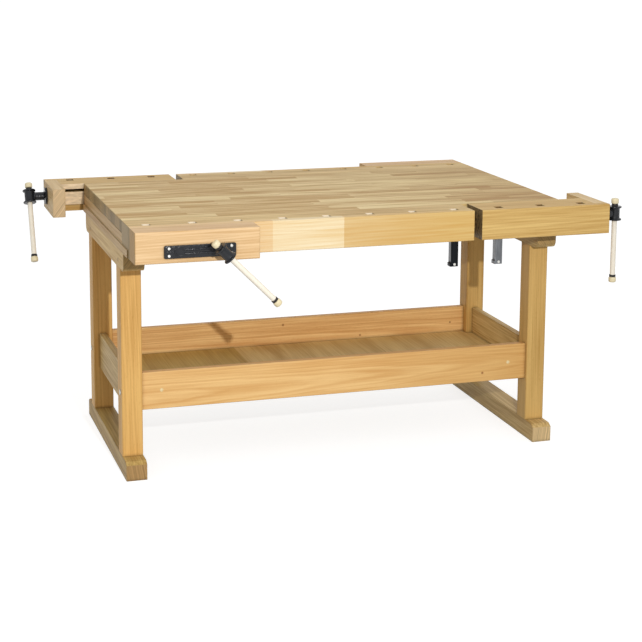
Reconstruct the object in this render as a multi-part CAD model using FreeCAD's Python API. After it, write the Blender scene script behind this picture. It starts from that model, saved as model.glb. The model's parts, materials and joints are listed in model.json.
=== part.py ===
"""Two-sided joiner's bench: a face vise and a tail vise on each long side, two sled-foot trestles
and a tray between them. Millimetres. X runs along the bench, Y from the front side to the rear
side, Z up. The origin is on the floor under the middle of the top. The bench is the same after
half a turn about Z, so each front piece has a rear twin of the same shape.
"""
import FreeCAD
import Part

import os

from FreeCAD import Rotation, Vector

os.makedirs("parts", exist_ok=True)

# ---------------------------------------------------------------- driving dimensions
# top
bench_height = 860.0
top_length = 1510.0
top_width = 1020.0
slab_thickness = 40.0
apron_height = 100.0
apron_length = 1145.0
apron_face_thickness = 28.0
dog_strip_width = 105.0
end_board_height = 25.0
end_board_width = 76.0
end_board_lip = 4.0
end_board_toe = 40.0
end_filler_width = 60.0
arris = 1.5

# dog holes and dogs
dog_size = 25.0
dog_clearance = 0.5
dog_pitch = 147.0
dog_holes = 8
dog_end_margin = 56.0
dog_length = 170.0
dog_recess = 20.0
dog_foot_height = 12.0
dog_foot_lip = 3.5
dog_head_chamfer = 2.0
spring_thickness = 2.0
spring_width = 14.0
spring_length = 95.0
spring_proud = 0.2

# trestles
leg_width = 68.0
leg_depth = 72.0
leg_spread = 626.0
trestle_inset = 4.0
bearer_height = 70.0
bearer_length = 750.0
bearer_nose = 26.0
foot_height = 62.0
foot_length = 758.0
foot_chamfer_height = 10.0
foot_chamfer_length = 16.0
tenon_width = 24.0
tenon_depth = 48.0
tenon_length = 45.0
leg_chamfer = 2.5

# tray
rail_height = 126.0
rail_thickness = 25.0
rail_setback = 13.0
rail_bottom = 211.0
side_rail_thickness = 23.0
side_rail_setback = 22.0
rail_tenon_thickness = 11.0
rail_tenon_length = 22.0
rail_tenon_shoulder = 14.0
tray_thickness = 8.0
tray_rise = 21.0
tray_groove = 6.0
tray_play = 0.4

# vise screws, hubs and handles, the same on all four vises
spindle_diameter = 24.0
spindle_fit = 0.05
wood_clearance = 1.0
hub_reach = 62.0
hub_length = 48.0
hub_wall = 8.0
hub_flange_height = 6.0
hub_flange_thickness = 6.0
hub_stem_wall = 3.0
hub_stem_gap = 0.3
tang_shoulder = 2.0
tang_wall = 2.0
seat_play = 0.05
handle_diameter = 18.0
handle_length = 294.0
handle_play = 0.3
rest_gap = 0.3
knob_height = 4.0
knob_length = 19.0
knob_socket = 12.0
ring_height = 2.0
ring_length = 8.0
tip_margin = 6.0

# face vise
jaw_length = 393.0
jaw_thickness = 86.0
jaw_round = 4.0
face_travel = 150.0
plate_length = 226.0
plate_height = 40.0
plate_thickness = 6.0
plate_shift = 5.5
plate_corner = 5.0
plate_below_slab = 4.0
screw_spread = 130.0
rib_height = 2.5
rib_width = 3.0
rib_spacing = 12.0
boss_diameter = 32.0
boss_height = 4.0
boss_wall = 2.0
collar_diameter = 39.0
guide_bar_diameter = 22.0
guide_fit = 0.06
bracket_thickness = 8.0
sleeve_length = 52.0
sleeve_wall = 8.0
web_thickness = 8.0

# tail vise
tail_gap = 28.0
tail_overhang = 127.0
tail_side_clearance = 1.0
tail_dog_margin = 74.0
tail_dog_pitch = 150.0
tail_dog_holes = 3
tail_travel = 130.0
tail_round = 3.0
end_block_thickness = 44.0
end_block_depth = 243.0
tail_axis_back = 82.0
tail_axis_drop = 48.0
channel_width = 44.0
channel_floor = 30.0
slot_drop = 19.0
slot_height = 10.0
slide_gap = 0.3
rebate_depth = 14.0
rebate_height = 25.0
dovetail_count = 3
dovetail_depth = 16.0
dovetail_slope = 0.18
dovetail_pin = 12.0
flange_diameter = 60.0
flange_thickness = 8.0
nut_plate_length = 230.0
nut_plate_margin = 55.0
nut_plate_bite = 32.0
nut_length = 44.0
nut_side_gap = 2.0
nut_below_axis = 20.0
vise_rail_width = 48.0
vise_rail_overlap = 140.0
lower_guide_height = 16.0
lower_guide_gap = 1.5

# how far each screw is turned at rest, from a handle that hangs straight down
face_screw_turn = 45.0
front_tail_screw_turn = 0.0
rear_tail_screw_turn = 27.0

# ---------------------------------------------------------------- worked-out lines and levels
half_length = top_length / 2
half_width = top_width / 2
apron_bottom = bench_height - apron_height
slab_bottom = bench_height - slab_thickness
end_board_top = apron_bottom + end_board_height
bearer_bottom = apron_bottom - bearer_height
strip_front = -half_width + apron_face_thickness
strip_back = strip_front + dog_strip_width
dog_hole = dog_size + 2 * dog_clearance
dog_y = strip_front + dog_hole / 2

apron_end = -half_length + apron_length
dog_xs = [apron_end - dog_end_margin - dog_pitch * i for i in range(dog_holes)]
bar_start = apron_end + tail_gap
bar_end = half_length + tail_overhang
bar_back = strip_back - tail_side_clearance
block_inner = bar_end - end_block_thickness
tail_dog_xs = [bar_start + tail_dog_margin + tail_dog_pitch * i for i in range(tail_dog_holes)]
tail_axis_y = -half_width + tail_axis_back
tail_axis_z = bench_height - tail_axis_drop
channel_front = tail_axis_y - channel_width / 2
channel_back = tail_axis_y + channel_width / 2
slot_top = bench_height - slot_drop
slot_bottom = slot_top - slot_height
nut_plate_start = bar_start + nut_plate_margin
nut_plate_end = nut_plate_start + nut_plate_length
nut_start = nut_plate_end - nut_length

leg_outer_x = half_length - trestle_inset
leg_inner_x = leg_outer_x - leg_width
trestle_x = (leg_outer_x + leg_inner_x) / 2
leg_outer_y = leg_spread / 2
leg_inner_y = leg_outer_y - leg_depth
leg_y = (leg_outer_y + leg_inner_y) / 2

rail_top = rail_bottom + rail_height
rail_outer_y = leg_outer_y - rail_setback
rail_inner_y = rail_outer_y - rail_thickness
side_rail_outer_x = leg_outer_x - side_rail_setback
side_rail_inner_x = side_rail_outer_x - side_rail_thickness
tray_bottom_z = rail_bottom + tray_rise
tray_top_z = tray_bottom_z + tray_thickness

jaw_start = -half_length
jaw_end = jaw_start + jaw_length
jaw_back = -half_width - rest_gap
jaw_front = jaw_back - jaw_thickness
plate_x = (jaw_start + jaw_end) / 2 + plate_shift
plate_z = slab_bottom - plate_below_slab - plate_height / 2
guide_bar_x = plate_x - screw_spread / 2
guide_bar_front = jaw_front - plate_thickness - boss_height + boss_wall
face_screw_x = plate_x + screw_spread / 2
bracket_back = strip_back + bracket_thickness
sleeve_end = bracket_back + sleeve_length
face_tip = sleeve_end + tip_margin + face_travel
tail_tip = nut_start - tip_margin - tail_travel

hub_bore_radius = handle_diameter / 2 + handle_play
hub_body_radius = handle_diameter / 2 + hub_wall
hub_flange_radius = hub_body_radius + hub_flange_height
hub_stem_diameter = spindle_diameter + 2 * hub_stem_wall
tang_diameter = spindle_diameter - 2 * tang_shoulder
ring_radius = handle_diameter / 2 + ring_height
knob_radius = handle_diameter / 2 + knob_height


# ---------------------------------------------------------------- helpers
def box(x_range, y_range, z_range):
    """A block between two values on each axis."""
    low = Vector(x_range[0], y_range[0], z_range[0])
    return Part.makeBox(
        x_range[1] - x_range[0], y_range[1] - y_range[0], z_range[1] - z_range[0], low
    )


def around(centre, size):
    """The two values that lie half of size each side of centre."""
    return (centre - size / 2, centre + size / 2)


def rod(diameter, length, start, direction):
    """A round bar from start along direction."""
    return Part.makeCylinder(diameter / 2, length, start, direction)


def prism(points, push):
    """A flat outline pushed along a vector."""
    outline = Part.makePolygon(points + points[:1])
    return Part.Face(outline).extrude(push)


def edges_along(solid, axis):
    """The straight edges of a solid that run along one axis: "x", "y" or "z"."""
    found = []
    for edge in solid.Edges:
        if isinstance(edge.Curve, Part.Line):
            way = edge.Curve.Direction
            if abs(getattr(way, axis)) > 0.999:
                found.append(edge)
    return found


def eased(solid, size, axes):
    """A sawn block whose edges along the given axes are planed off by size."""
    edges = [edge for axis in axes for edge in edges_along(solid, axis)]
    return solid.makeChamfer(size, edges)


def turned(solid):
    """The rear twin of a front piece: half a turn about the bench's middle."""
    twin = solid.copy()
    twin.rotate(Vector(0, 0, 0), Vector(0, 0, 1), 180)
    return twin


def save(name, *solids):
    """Writes one node. Pieces that are alike share one node."""
    shape = solids[0] if len(solids) == 1 else Part.makeCompound(list(solids))
    shape.exportStep(f"parts/{name}.step")


# ---------------------------------------------------------------- top
def make_slab():
    """Laminated middle of the top. Each long edge is grooved for a tail vise's nut plate."""
    slab = box((-half_length, half_length), (strip_back, -strip_back), (slab_bottom, bench_height))
    slab = eased(slab, arris, "y")
    groove = nut_plate_outline(strip_back, strip_back + nut_plate_bite)
    return slab.cut(groove).cut(turned(groove))


def vise_bore(x, diameter, play, y_range):
    """A bore of the face vise, at one x and at its plate's level, with play all round."""
    start = Vector(x, y_range[0], plate_z)
    return rod(diameter + 2 * play, y_range[1] - y_range[0], start, Vector(0, 1, 0))


def vise_holes(play, y_range):
    """Bores for the face vise's screw and guide bar through a board."""
    return [vise_bore(face_screw_x, spindle_diameter, play, y_range),
            vise_bore(guide_bar_x, guide_bar_diameter, play, y_range)]


def make_apron_face():
    """Outer board of the apron, which closes the fronts of the dog holes."""
    y_range = (-half_width, strip_front)
    face = box((-half_length, apron_end), y_range, (apron_bottom, bench_height))
    front_edges = [e for e in edges_along(face, "x") if e.CenterOfMass.y < y_range[0] + arris]
    face = face.makeChamfer(arris, front_edges)
    return face.cut(vise_holes(wood_clearance, y_range))


def make_dog_strip():
    """Comb-shaped core of the apron: one square notch for each bench dog."""
    y_range = (strip_front, strip_back)
    strip = box((-half_length, apron_end), y_range, (apron_bottom, bench_height))
    for x in dog_xs:
        notch_y = (strip_front, strip_front + dog_hole)
        strip = strip.cut(box(around(x, dog_hole), notch_y, (apron_bottom, bench_height)))
    toe = box((-half_length, -half_length - end_board_lip + end_board_toe), y_range,
              (apron_bottom, end_board_top))
    return strip.cut(toe).cut(vise_holes(wood_clearance, y_range))


def make_end_board():
    """Cross piece under one end of the slab. Its lower edge stands proud as a lip, and a narrow
    toe runs on under the dog strip, clear of the first dog hole."""
    outer = -half_length - end_board_lip
    lower_y = (strip_back, -strip_back)
    lower_z = (apron_bottom, end_board_top)
    lower = box((outer, outer + end_board_width), lower_y, lower_z)
    toe = box((outer, outer + end_board_toe), (strip_front, strip_back), lower_z)
    filler = box((-half_length, -half_length + end_filler_width), lower_y,
                 (end_board_top, slab_bottom))
    return lower.fuse([toe, filler]).removeSplitter()


def make_vise_rail():
    """Rail glued under the slab's edge beside the tail vise. It carries the lower guide."""
    x_range = (apron_end - vise_rail_overlap, half_length + end_board_lip - end_board_width)
    y_range = (strip_back, strip_back + vise_rail_width)
    return box(x_range, y_range, (apron_bottom, slab_bottom))


# ---------------------------------------------------------------- trestles
def rail_tenon(thickness_range):
    """Where a rail's stub tenon lies across its thickness, and its height on Z."""
    middle = sum(thickness_range) / 2
    z_range = (rail_bottom + rail_tenon_shoulder, rail_top - rail_tenon_shoulder)
    return around(middle, rail_tenon_thickness), z_range


def side_rail_blank():
    """Short rail between the two legs of the left trestle, with a stub tenon at each end."""
    x_range = (-side_rail_outer_x, -side_rail_inner_x)
    body = box(x_range, (-leg_inner_y, leg_inner_y), (rail_bottom, rail_top))
    tenon_x, tenon_z = rail_tenon(x_range)
    reach = leg_inner_y + rail_tenon_length
    return body.fuse(box(tenon_x, (-reach, reach), tenon_z))


def tray_rail_blank():
    """Long front rail between the left and right front legs, with a stub tenon at each end."""
    y_range = (-rail_outer_y, -rail_inner_y)
    body = box((-leg_inner_x, leg_inner_x), y_range, (rail_bottom, rail_top))
    body = body.makeChamfer(arris, edges_along(body, "x"))
    tenon_y, tenon_z = rail_tenon(y_range)
    reach = leg_inner_x + rail_tenon_length
    return body.fuse(box((-reach, reach), tenon_y, tenon_z))


def tray_panel():
    """Plywood bottom of the tray. Its edges sit in the rails' grooves, round the four legs."""
    half_x = side_rail_inner_x + tray_groove
    half_y = rail_inner_y + tray_groove
    panel = box((-half_x, half_x), (-half_y, half_y), (tray_bottom_z, tray_top_z))
    for x_side in (-1, 1):
        for y_side in (-1, 1):
            x_range = sorted((x_side * (leg_inner_x - tray_play), x_side * half_x))
            y_range = sorted((y_side * (leg_inner_y - tray_play), y_side * half_y))
            panel = panel.cut(box(x_range, y_range, (tray_bottom_z, tray_top_z)))
    return panel


def leg_tenons():
    """The long tenon that passes through a leg's two shoulders, at the left front leg."""
    z_range = (foot_height - tenon_length, bearer_bottom + tenon_length)
    return box(around(-trestle_x, tenon_width), around(-leg_y, tenon_depth), z_range)


def make_leg():
    """Left front leg: eased post, tenons top and bottom, and a mortise for each rail."""
    post = box((-leg_outer_x, -leg_inner_x), (-leg_outer_y, -leg_inner_y),
               (foot_height, bearer_bottom))
    leg = eased(post, leg_chamfer, "z").fuse(leg_tenons())
    return leg.cut([side_rail_blank(), tray_rail_blank()])


def mirrored_y(solid):
    """The same piece on the other side of the plane Y = 0."""
    return solid.mirror(Vector(0, 0, 0), Vector(0, 1, 0))


def make_bearer():
    """Top member of a trestle. Its lower front and rear corners are rounded noses."""
    half = bearer_length / 2
    bearer = box((-leg_outer_x, -leg_inner_x), (-half, half), (bearer_bottom, apron_bottom))
    noses = [e for e in edges_along(bearer, "x") if e.CenterOfMass.z < bearer_bottom + 1]
    bearer = bearer.makeFillet(bearer_nose, noses)
    return bearer.cut(leg_tenons()).cut(mirrored_y(leg_tenons()))


def make_foot():
    """Sled foot of a trestle. The top corners at both ends are sloped off."""
    half = foot_length / 2
    shoulder = foot_height - foot_chamfer_height
    slope = half - foot_chamfer_length
    side = [(-half, 0), (half, 0), (half, shoulder), (slope, foot_height),
            (-slope, foot_height), (-half, shoulder)]
    foot = prism([Vector(-leg_outer_x, y, z) for y, z in side], Vector(leg_width, 0, 0))
    return foot.cut(leg_tenons()).cut(mirrored_y(leg_tenons()))


def make_side_rail():
    """Side rail grooved for the tray's edge."""
    groove = box((-side_rail_inner_x - tray_groove, -side_rail_inner_x),
                 (-leg_inner_y, leg_inner_y), (tray_bottom_z, tray_top_z))
    return side_rail_blank().cut(groove)


def make_tray_rail():
    """Long front rail of the tray, grooved for the tray's edge."""
    groove = box((-leg_inner_x, leg_inner_x), (-rail_inner_y - tray_groove, -rail_inner_y),
                 (tray_bottom_z, tray_top_z))
    return tray_rail_blank().cut(groove)


# ---------------------------------------------------------------- vise screw, hub and handle
# Made with the screw along +X from the face that the hub stands on, and the handle along Z.
def make_spindle(back_length):
    """Screw bar: back_length behind the vise's outer face, and a tang up into the hub."""
    shoulder = flange_thickness + hub_stem_gap
    bar = rod(spindle_diameter, back_length + shoulder, Vector(-back_length, 0, 0), Vector(1, 0, 0))
    tang_length = hub_reach - hub_bore_radius - tang_wall - shoulder
    tang = rod(tang_diameter, tang_length, Vector(shoulder, 0, 0), Vector(1, 0, 0))
    return bar.fuse(tang)


def make_hub():
    """Cast T-shaped hub: a stem on the screw and a cross tube that the handle slides in."""
    shoulder = flange_thickness + hub_stem_gap
    stem = rod(hub_stem_diameter, hub_reach - shoulder, Vector(shoulder, 0, 0), Vector(1, 0, 0))
    half = hub_length / 2
    waist = half - hub_flange_thickness
    outline = [(hub_bore_radius, -half), (hub_flange_radius, -half),
               (hub_flange_radius, -waist), (hub_body_radius, -waist),
               (hub_body_radius, waist), (hub_flange_radius, waist),
               (hub_flange_radius, half), (hub_bore_radius, half)]
    points = [Vector(hub_reach + r, 0, z) for r, z in outline]
    wire = Part.makePolygon(points + points[:1])
    tube = Part.Face(wire).revolve(Vector(hub_reach, 0, 0), Vector(0, 0, 1), 360)
    bore = rod(2 * hub_bore_radius, hub_length, Vector(hub_reach, 0, -half), Vector(0, 0, 1))
    socket_depth = hub_reach - shoulder - hub_bore_radius - tang_wall + seat_play
    socket = rod(tang_diameter + 2 * seat_play, socket_depth, Vector(shoulder, 0, 0),
                 Vector(1, 0, 0))
    return tube.fuse(stem.cut(bore)).cut(socket)


def handle_top():
    """Height of the handle's upper end over the screw's axis, with its ring resting on the hub."""
    return hub_length / 2 + rest_gap + ring_length + knob_length


def make_handle():
    """Wooden bar. Its ends sit in the knobs' sockets."""
    top = handle_top() - knob_length + knob_socket
    length = handle_length - 2 * (knob_length - knob_socket)
    return rod(handle_diameter, length, Vector(hub_reach, 0, top - length), Vector(0, 0, 1))


def make_handle_end(way):
    """Turned end of the handle, upper (way = 1) or lower (way = -1): a collar that stops against
    the hub, and a knob, bored for the bar."""
    end = handle_top() if way > 0 else handle_top() - handle_length
    shoulder = end - way * knob_length
    outline = [(0, knob_length), (knob_radius, knob_length), (knob_radius, 0), (ring_radius, 0),
               (ring_radius, -ring_length), (0, -ring_length)]
    points = [Vector(hub_reach + r, 0, shoulder + way * z) for r, z in outline]
    wire = Part.makePolygon(points + points[:1])
    piece = Part.Face(wire).revolve(Vector(hub_reach, 0, 0), Vector(0, 0, 1), 360)
    foot = Vector(hub_reach, 0, shoulder - way * ring_length)
    return piece.cut(rod(handle_diameter + 2 * seat_play, ring_length + knob_socket, foot,
                         Vector(0, 0, way)))


def seated(solid, origin, heading, turn):
    """Puts a vise piece on its screw's axis: turned about the screw, then headed outwards."""
    piece = solid.copy()
    piece.rotate(Vector(0, 0, 0), Vector(1, 0, 0), turn)
    piece.rotate(Vector(0, 0, 0), Vector(0, 0, 1), heading)
    piece.translate(origin)
    return piece


def save_screw_set(name, origin, heading, turn, back_length):
    """Screw (spindle with its hub), handle and handle ends of one vise."""
    sets = {
        "screw": [make_spindle(back_length), make_hub()],
        "handle": [make_handle()],
        "handle_ends": [make_handle_end(1), make_handle_end(-1)],
    }
    for piece_name, solids in sets.items():
        save(f"{name}_{piece_name}", *[seated(s, origin, heading, turn) for s in solids])


# ---------------------------------------------------------------- face vise
def make_jaw():
    """Wooden chop of the face vise, bored for the screw and the guide bar."""
    y_range = (jaw_front, jaw_back)
    jaw = box((jaw_start, jaw_end), y_range, (apron_bottom, bench_height))
    front = [e for e in jaw.Edges if e.CenterOfMass.y < jaw_front + 1]
    jaw = jaw.makeFillet(jaw_round, front)
    return jaw.cut(vise_holes(spindle_fit, y_range))


def make_front_plate():
    """Cast plate on the chop: a collar round the screw, a blind boss that holds the guide bar's
    end and two stiffening ribs between them."""
    back = jaw_front
    front = back - plate_thickness
    out = Vector(0, -1, 0)
    plate = box(around(plate_x, plate_length), (front, back), around(plate_z, plate_height))
    plate = plate.makeFillet(plate_corner, edges_along(plate, "y"))
    collar = rod(collar_diameter, flange_thickness, Vector(face_screw_x, back, plate_z), out)
    boss = rod(boss_diameter, boss_height, Vector(guide_bar_x, front, plate_z), out)
    plate = plate.fuse([collar, boss])
    rib_x = (guide_bar_x + boss_diameter / 2, face_screw_x - collar_diameter / 2)
    for z in around(plate_z, rib_spacing):
        plate = plate.fuse(box(rib_x, (front - rib_height, front), around(z, rib_width)))
    screw_bore = vise_bore(face_screw_x, spindle_diameter, spindle_fit,
                           (back - flange_thickness, back))
    socket = vise_bore(guide_bar_x, guide_bar_diameter, spindle_fit, (guide_bar_front, back))
    return plate.cut([screw_bore, socket])


def make_guide_bar():
    """Steel bar that keeps the chop square. Its front end sits in the plate's boss."""
    return vise_bore(guide_bar_x, guide_bar_diameter, 0.0, (guide_bar_front, face_tip))


def make_bracket():
    """Cast bracket behind the dog strip: the screw's nut and the guide bar's sleeve on one plate,
    joined by a web."""
    plate = box(around(plate_x, plate_length), (strip_back, bracket_back),
                around(plate_z, plate_height))
    back = Vector(0, 1, 0)
    sleeves = []
    bores = []
    for x, diameter, fit in ((face_screw_x, spindle_diameter, spindle_fit),
                             (guide_bar_x, guide_bar_diameter, guide_fit)):
        sleeves.append(rod(diameter + 2 * sleeve_wall, sleeve_length,
                           Vector(x, bracket_back, plate_z), back))
        bores.append(rod(diameter + 2 * fit, sleeve_length + bracket_thickness,
                         Vector(x, strip_back, plate_z), back))
    web = prism([Vector(guide_bar_x, bracket_back, plate_z - web_thickness / 2),
                 Vector(face_screw_x, bracket_back, plate_z - web_thickness / 2),
                 Vector(face_screw_x, sleeve_end - sleeve_wall, plate_z - web_thickness / 2),
                 Vector(plate_x, bracket_back + sleeve_wall, plate_z - web_thickness / 2),
                 Vector(guide_bar_x, sleeve_end - sleeve_wall, plate_z - web_thickness / 2)],
                Vector(0, 0, web_thickness))
    bracket = plate.fuse(sleeves + [web])
    for bore in bores:
        bracket = bracket.cut(bore)
    return bracket


# ---------------------------------------------------------------- tail vise
def nut_plate_outline(y_low, y_high):
    """The steel nut plate's space, between two lines on Y."""
    z_range = (slot_bottom + slide_gap, slot_top - slide_gap)
    return box((nut_plate_start, nut_plate_end), (y_low, y_high), z_range)


def dovetail_spaces(play):
    """The tails of the corner joint: wedges that run along X and flare towards the front."""
    pitch = apron_height / dovetail_count
    tails = []
    for i in range(dovetail_count):
        middle = apron_bottom + pitch * (i + 0.5)
        root = (pitch - dovetail_pin) / 2 - dovetail_depth * dovetail_slope + play
        tip = root + dovetail_depth * dovetail_slope
        tip_y = strip_front - dovetail_depth
        outline = [Vector(block_inner, strip_front, middle - root),
                   Vector(block_inner, tip_y, middle - tip),
                   Vector(block_inner, tip_y, middle + tip),
                   Vector(block_inner, strip_front, middle + root)]
        tails.append(prism(outline, Vector(end_block_thickness, 0, 0)))
    return tails


def make_tail_bar():
    """Sliding bar of the tail vise. It holds the dog holes, the channel that the screw and nut
    run in, the slot that the nut plate reaches through and the rebate over the lower guide. Its
    face runs on past the end block as the lap of a half-blind dovetail corner."""
    z_range = (apron_bottom, bench_height)
    core = box((bar_start, block_inner), (-half_width, bar_back), z_range)
    lap = box((block_inner, bar_end), (-half_width, strip_front), z_range)
    bar = core.fuse(lap).removeSplitter()
    front = [e for e in edges_along(bar, "x") if e.CenterOfMass.y < -half_width + arris]
    bar = bar.makeChamfer(arris, front)
    x_range = (bar_start, block_inner)
    bar = bar.cut(box(x_range, (channel_front, channel_back),
                      (apron_bottom + channel_floor, slot_top)))
    bar = bar.cut(box(x_range, (channel_back, bar_back), (slot_bottom, slot_top)))
    bar = bar.cut(box(x_range, (bar_back - rebate_depth, bar_back),
                      (apron_bottom, apron_bottom + rebate_height)))
    for x in tail_dog_xs:
        hole_y = (strip_front, strip_front + dog_hole)
        bar = bar.cut(box(around(x, dog_hole), hole_y, z_range))
    for tail in dovetail_spaces(0.0):
        bar = bar.cut(tail)
    return bar


def make_end_block():
    """End block of the tail vise: its tails sit in the bar's lap, and the screw turns in it."""
    inner_y = -half_width + end_block_depth
    block = box((block_inner, bar_end), (strip_front, inner_y), (apron_bottom, bench_height))
    corners = [e for e in edges_along(block, "z") if e.CenterOfMass.y > inner_y - 1]
    block = block.makeFillet(tail_round, corners)
    block = block.fuse(dovetail_spaces(0.0))
    start = Vector(block_inner, tail_axis_y, tail_axis_z)
    return block.cut(rod(spindle_diameter + 2 * spindle_fit, end_block_thickness, start,
                         Vector(1, 0, 0)))


def make_flange():
    """Round cast flange on the end block. The hub's stem turns against it."""
    start = Vector(bar_end, tail_axis_y, tail_axis_z)
    way = Vector(1, 0, 0)
    disc = rod(flange_diameter, flange_thickness, start, way)
    return disc.cut(rod(spindle_diameter + 2 * spindle_fit, flange_thickness, start, way))


def make_nut_plate():
    """Steel plate let into the slab's edge. It reaches through the bar's slot, carries the bar
    and holds the screw's nut in the channel."""
    plate = nut_plate_outline(channel_front + nut_side_gap, strip_back + nut_plate_bite)
    nut = box((nut_start, nut_plate_end),
              (channel_front + nut_side_gap, channel_back - nut_side_gap),
              (tail_axis_z - nut_below_axis, slot_bottom + slide_gap))
    start = Vector(nut_start, tail_axis_y, tail_axis_z)
    bore = rod(spindle_diameter + 2 * spindle_fit, nut_length, start, Vector(1, 0, 0))
    return plate.fuse(nut).cut(bore)


def make_lower_guide():
    """Steel strip on the vise rail. The bar's rebate slides over it and can't lift."""
    top = apron_bottom + rebate_height - slide_gap
    x_range = (nut_plate_start, half_length + end_board_lip - end_board_width)
    y_range = (bar_back - rebate_depth + lower_guide_gap, strip_back)
    return box(x_range, y_range, (top - lower_guide_height, top))


def make_dog(x):
    """Square steel bench dog, its foot and the leaf spring let into its side."""
    top = bench_height - dog_recess
    bottom = top - dog_length
    body = box(around(x, dog_size), around(dog_y, dog_size), (bottom, top))
    body = body.makeChamfer(dog_head_chamfer, [e for e in body.Edges if e.CenterOfMass.z > top - 1])
    side = x - dog_size / 2
    foot = box((side - dog_foot_lip, side), around(dog_y, dog_size),
               (bottom, bottom + dog_foot_height))
    pocket_x = (side, side + spring_thickness - spring_proud)
    spring_z = (bottom + dog_foot_height, bottom + dog_foot_height + spring_length)
    pocket = box(pocket_x, around(dog_y, spring_width), spring_z)
    spring = box((side - spring_proud, pocket_x[1]), around(dog_y, spring_width), spring_z)
    return [body.fuse(foot).cut(pocket), spring]


# ---------------------------------------------------------------- build
# Each front piece and its rear twin are nodes of their own, but for the small ones under the top,
# which share a node.
twins = {
    "apron_face": make_apron_face(),
    "dog_strip": make_dog_strip(),
    "vise_rail": make_vise_rail(),
    "tray_rail": make_tray_rail(),
    "face_vise_jaw": make_jaw(),
    "face_vise_plate": make_front_plate(),
    "face_vise_guide_bar": make_guide_bar(),
    "tail_vise_bar": make_tail_bar(),
    "tail_vise_end_block": make_end_block(),
    "tail_vise_flange": make_flange(),
}
for name, solid in twins.items():
    save(f"front_{name}", solid)
    save(f"rear_{name}", turned(solid))

save("top_slab", make_slab())
save("tray_bottom", tray_panel())
shared = {
    "face_vise_brackets": make_bracket(),
    "tail_vise_nut_plates": make_nut_plate(),
    "tail_vise_lower_guides": make_lower_guide(),
}
for name, solid in shared.items():
    save(name, solid, turned(solid))

left_pieces = {
    "end_board": make_end_board(),
    "bearer": make_bearer(),
    "foot": make_foot(),
    "side_rail": make_side_rail(),
}
for name, solid in left_pieces.items():
    save(f"left_{name}", solid)
    save(f"right_{name}", turned(solid))

left_front_leg = make_leg()
left_rear_leg = mirrored_y(left_front_leg)
save("left_front_leg", left_front_leg)
save("left_rear_leg", left_rear_leg)
save("right_front_leg", turned(left_rear_leg))
save("right_rear_leg", turned(left_front_leg))

dog_spots = {"apron_dog": dog_xs[0], "tail_dog": tail_dog_xs[0]}
for name, x in dog_spots.items():
    dog = make_dog(x)
    save(f"front_{name}", *dog)
    save(f"rear_{name}", *[turned(piece) for piece in dog])

# The front face vise's screw heads out towards -Y and the front tail vise's towards +X.
face_origin = Vector(face_screw_x, jaw_front, plate_z)
tail_origin = Vector(bar_end, tail_axis_y, tail_axis_z)
face_back = face_tip - jaw_front
tail_back = bar_end - tail_tip
half_turn = Rotation(Vector(0, 0, 1), 180)
save_screw_set("front_face_vise", face_origin, -90, face_screw_turn, face_back)
save_screw_set("rear_face_vise", half_turn.multVec(face_origin), 90, face_screw_turn, face_back)
save_screw_set("front_tail_vise", tail_origin, 0, front_tail_screw_turn, tail_back)
save_screw_set("rear_tail_vise", half_turn.multVec(tail_origin), 180, rear_tail_screw_turn,
               tail_back)
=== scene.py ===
# %% [markdown]
# # A joiner's bench in oiled beech
# The construction model gives every board, screw and casting its true place and size. This script
# gives them their looks: oiled beech with its staves and end grain, black enamelled castings,
# rolled threads, turned handles and steel bench dogs.

# %% Load the construction model
import json
import math

import bmesh
import bpy
from mathutils import Euler, Matrix, Vector


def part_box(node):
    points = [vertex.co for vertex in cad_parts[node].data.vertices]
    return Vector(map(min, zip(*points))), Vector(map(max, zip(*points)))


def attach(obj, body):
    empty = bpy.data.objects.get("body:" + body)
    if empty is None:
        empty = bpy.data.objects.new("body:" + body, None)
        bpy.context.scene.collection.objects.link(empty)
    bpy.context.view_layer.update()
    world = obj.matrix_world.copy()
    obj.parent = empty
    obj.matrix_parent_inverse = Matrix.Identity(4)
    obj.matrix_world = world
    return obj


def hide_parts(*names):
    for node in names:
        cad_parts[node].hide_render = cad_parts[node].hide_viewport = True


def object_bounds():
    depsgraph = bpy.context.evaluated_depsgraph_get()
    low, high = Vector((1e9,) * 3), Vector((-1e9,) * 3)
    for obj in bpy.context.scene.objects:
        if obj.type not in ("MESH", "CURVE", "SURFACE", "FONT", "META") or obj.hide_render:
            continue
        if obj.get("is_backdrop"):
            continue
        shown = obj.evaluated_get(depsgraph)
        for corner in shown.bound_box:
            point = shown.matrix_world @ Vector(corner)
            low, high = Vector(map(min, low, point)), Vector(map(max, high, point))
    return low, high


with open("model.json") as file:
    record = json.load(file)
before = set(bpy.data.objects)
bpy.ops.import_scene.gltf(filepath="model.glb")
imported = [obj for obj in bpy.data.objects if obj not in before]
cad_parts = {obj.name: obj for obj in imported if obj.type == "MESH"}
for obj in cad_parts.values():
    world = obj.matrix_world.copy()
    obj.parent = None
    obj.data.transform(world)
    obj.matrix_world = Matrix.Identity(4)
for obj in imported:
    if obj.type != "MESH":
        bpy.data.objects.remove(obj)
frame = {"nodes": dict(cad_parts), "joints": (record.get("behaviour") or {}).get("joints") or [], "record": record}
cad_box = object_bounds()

nodes = frame["nodes"]
joints = {joint["name"]: joint for joint in frame["joints"]}

# %% [markdown]
# ## Units and colours
# A workshop drawing is in millimetres and Blender works in metres, so every size below is written
# in millimetres and scaled by `mm`. Colours are written as the sRGB hex values that a colour chart
# gives, and one function turns them into the linear values that a shader mixes.

# %% Units and colours
mm = 0.001


def linear(hex_colour):
    """sRGB hex to linear RGBA."""
    channels = [int(hex_colour[i:i + 2], 16) / 255 for i in (1, 3, 5)]
    return [c / 12.92 if c <= 0.04045 else ((c + 0.055) / 1.055) ** 2.4 for c in channels] + [1.0]


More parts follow.
